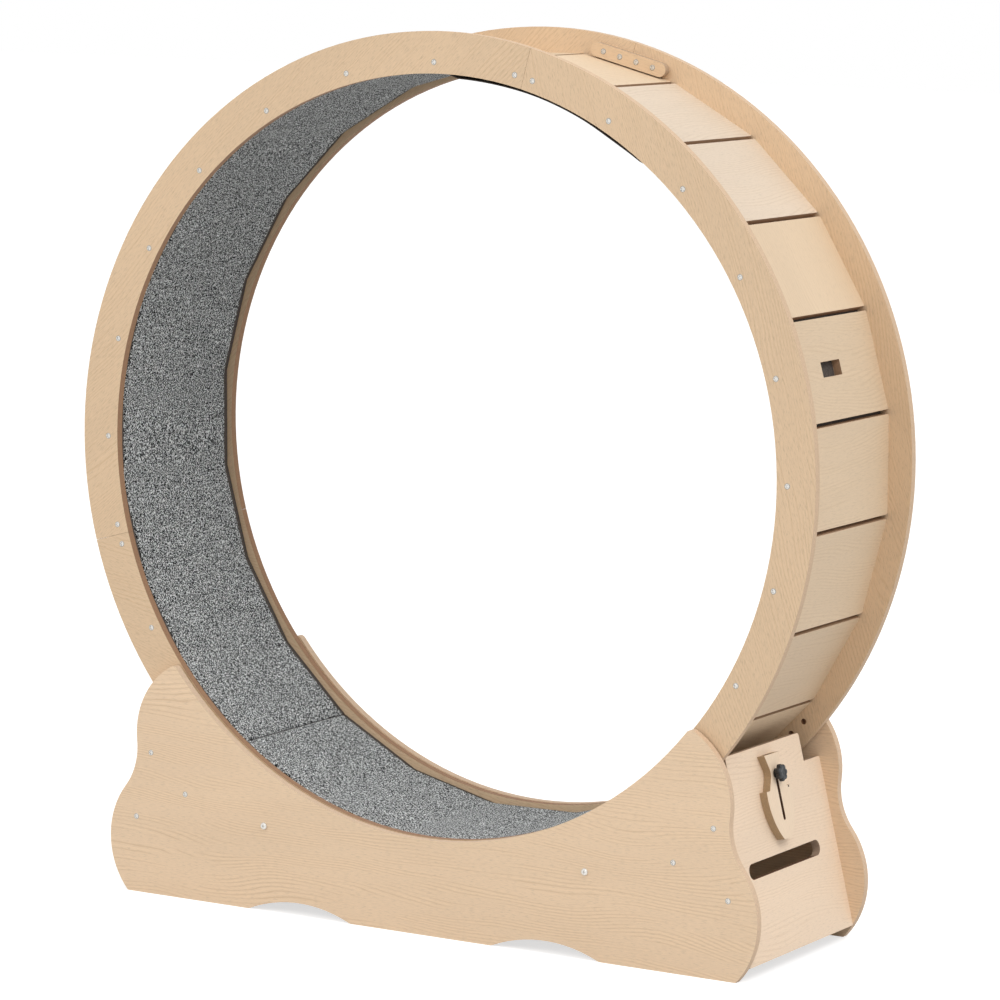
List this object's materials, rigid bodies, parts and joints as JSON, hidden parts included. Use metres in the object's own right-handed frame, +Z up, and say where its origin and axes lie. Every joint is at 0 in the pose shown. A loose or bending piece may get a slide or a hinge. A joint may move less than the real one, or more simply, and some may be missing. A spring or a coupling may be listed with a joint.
{
  "type": "cat exercise wheel",
  "caption": "Large cat exercise wheel: a carpet-lined wooden drum on grooved rollers in a board base, with a sliding lock plate held by a star knob.",
  "frame": {"origin": "on the floor under the middle of the drum, at the bottom centre of the whole object", "axes": "+Z up; +Y along the drum's axle, from the front side panel towards the back one; +X towards the end panel with the brake"},
  "size_m": [0.9999, 0.2918, 1.0659],
  "materials": {
    "ring_board": "pale maple laminate on board, satin, edges bare and a little pinker",
    "slat_board": "pale maple laminate on board, satin",
    "base_board": "pale maple laminate on board, satin",
    "rail_timber": "planed softwood, unfinished",
    "carpet": "short grey heathered loop pile",
    "screw_steel": "nickel-plated, satin",
    "bearing_steel": "ground bright steel",
    "roller_nylon": "natural nylon",
    "knob_plastic": "black moulded plastic"
  },
  "bodies": {
    "base": {"axle_bolts": "screw_steel", "axle_nuts": "screw_steel", "axle_spacers": "screw_steel", "back_side_panel": "base_board", "base_screws": "screw_steel", "brake_stud": "screw_steel", "front_side_panel": "base_board", "inner_races": "bearing_steel", "left_cross_rail": "rail_timber", "left_end_panel": "base_board", "right_cross_rail": "rail_timber", "right_end_panel": "base_board"},
    "drum": {"back_ring_lower": "ring_board", "back_ring_right": "ring_board", "back_ring_upper_left": "ring_board", "back_splice_plate_left": "ring_board", "back_splice_plate_top": "ring_board", "bearing_balls": "ring_board", "carpet_liner": "carpet", "front_ring_lower": "ring_board", "front_ring_right": "ring_board", "front_ring_upper_left": "ring_board", "front_splice_plate_left": "ring_board", "front_splice_plate_top": "ring_board", "ring_screws": "screw_steel", "slat_01": "slat_board", "slat_02": "slat_board", "slat_03": "slat_board", "slat_04": "slat_board", "slat_05": "slat_board", "slat_06": "slat_board", "slat_07": "slat_board", "slat_08": "slat_board", "slat_09": "slat_board", "slat_10": "slat_board", "slat_11": "slat_board", "slat_12": "slat_board", "slat_13": "slat_board", "slat_14": "slat_board", "slat_15": "slat_board", "slat_16": "slat_board", "slat_17": "slat_board", "slat_18": "slat_board", "slat_19": "slat_board", "slat_20": "slat_board", "slat_21": "slat_board", "slat_22": "slat_board", "slat_23": "slat_board", "slat_24": "slat_board", "splice_screws": "screw_steel"},
    "roller_front_left": {"roller_front_left": "roller_nylon", "outer_race_front_left": "bearing_steel"},
    "roller_front_right": {"roller_front_right": "roller_nylon", "outer_race_front_right": "bearing_steel"},
    "roller_back_left": {"roller_back_left": "roller_nylon", "outer_race_back_left": "bearing_steel"},
    "roller_back_right": {"roller_back_right": "roller_nylon", "outer_race_back_right": "bearing_steel"},
    "brake": {"brake_plate": "base_board"},
    "knob": {"star_knob": "knob_plastic"}
  },
  "joints": [
    {"name": "drum_spin", "type": "hinge", "parent": "base", "child": "drum", "pos_m": [0, 0, 0.566], "axis": [0, 1, 0], "continuous": true},
    {"name": "roller_front_left_spin", "type": "hinge", "parent": "base", "child": "roller_front_left", "pos_m": [-0.22216, -0.125, 0.10438], "axis": [0, 1, 0], "continuous": true},
    {"name": "roller_front_right_spin", "type": "hinge", "parent": "base", "child": "roller_front_right", "pos_m": [0.22216, -0.125, 0.10438], "axis": [0, 1, 0], "continuous": true},
    {"name": "roller_back_left_spin", "type": "hinge", "parent": "base", "child": "roller_back_left", "pos_m": [-0.22216, 0.125, 0.10438], "axis": [0, 1, 0], "continuous": true},
    {"name": "roller_back_right_spin", "type": "hinge", "parent": "base", "child": "roller_back_right", "pos_m": [0.22216, 0.125, 0.10438], "axis": [0, 1, 0], "continuous": true},
    {"name": "brake_slide", "type": "slide", "parent": "base", "child": "brake", "axis": [-0.2487, 0, 0.9686], "range_m": [0, 0.035]},
    {"name": "knob_turn", "type": "hinge", "parent": "base", "child": "knob", "pos_m": [0.38364, 0, 0.21427], "axis": [0.9686, 0, 0.2487], "range_deg": [0, 360]}
  ],
  "couplings": [
    {"joint": "roller_front_left_spin", "follows": "drum_spin", "ratio": -41.667},
    {"joint": "roller_front_right_spin", "follows": "drum_spin", "ratio": -41.667},
    {"joint": "roller_back_left_spin", "follows": "drum_spin", "ratio": -41.667},
    {"joint": "roller_back_right_spin", "follows": "drum_spin", "ratio": -41.667}
  ]
}
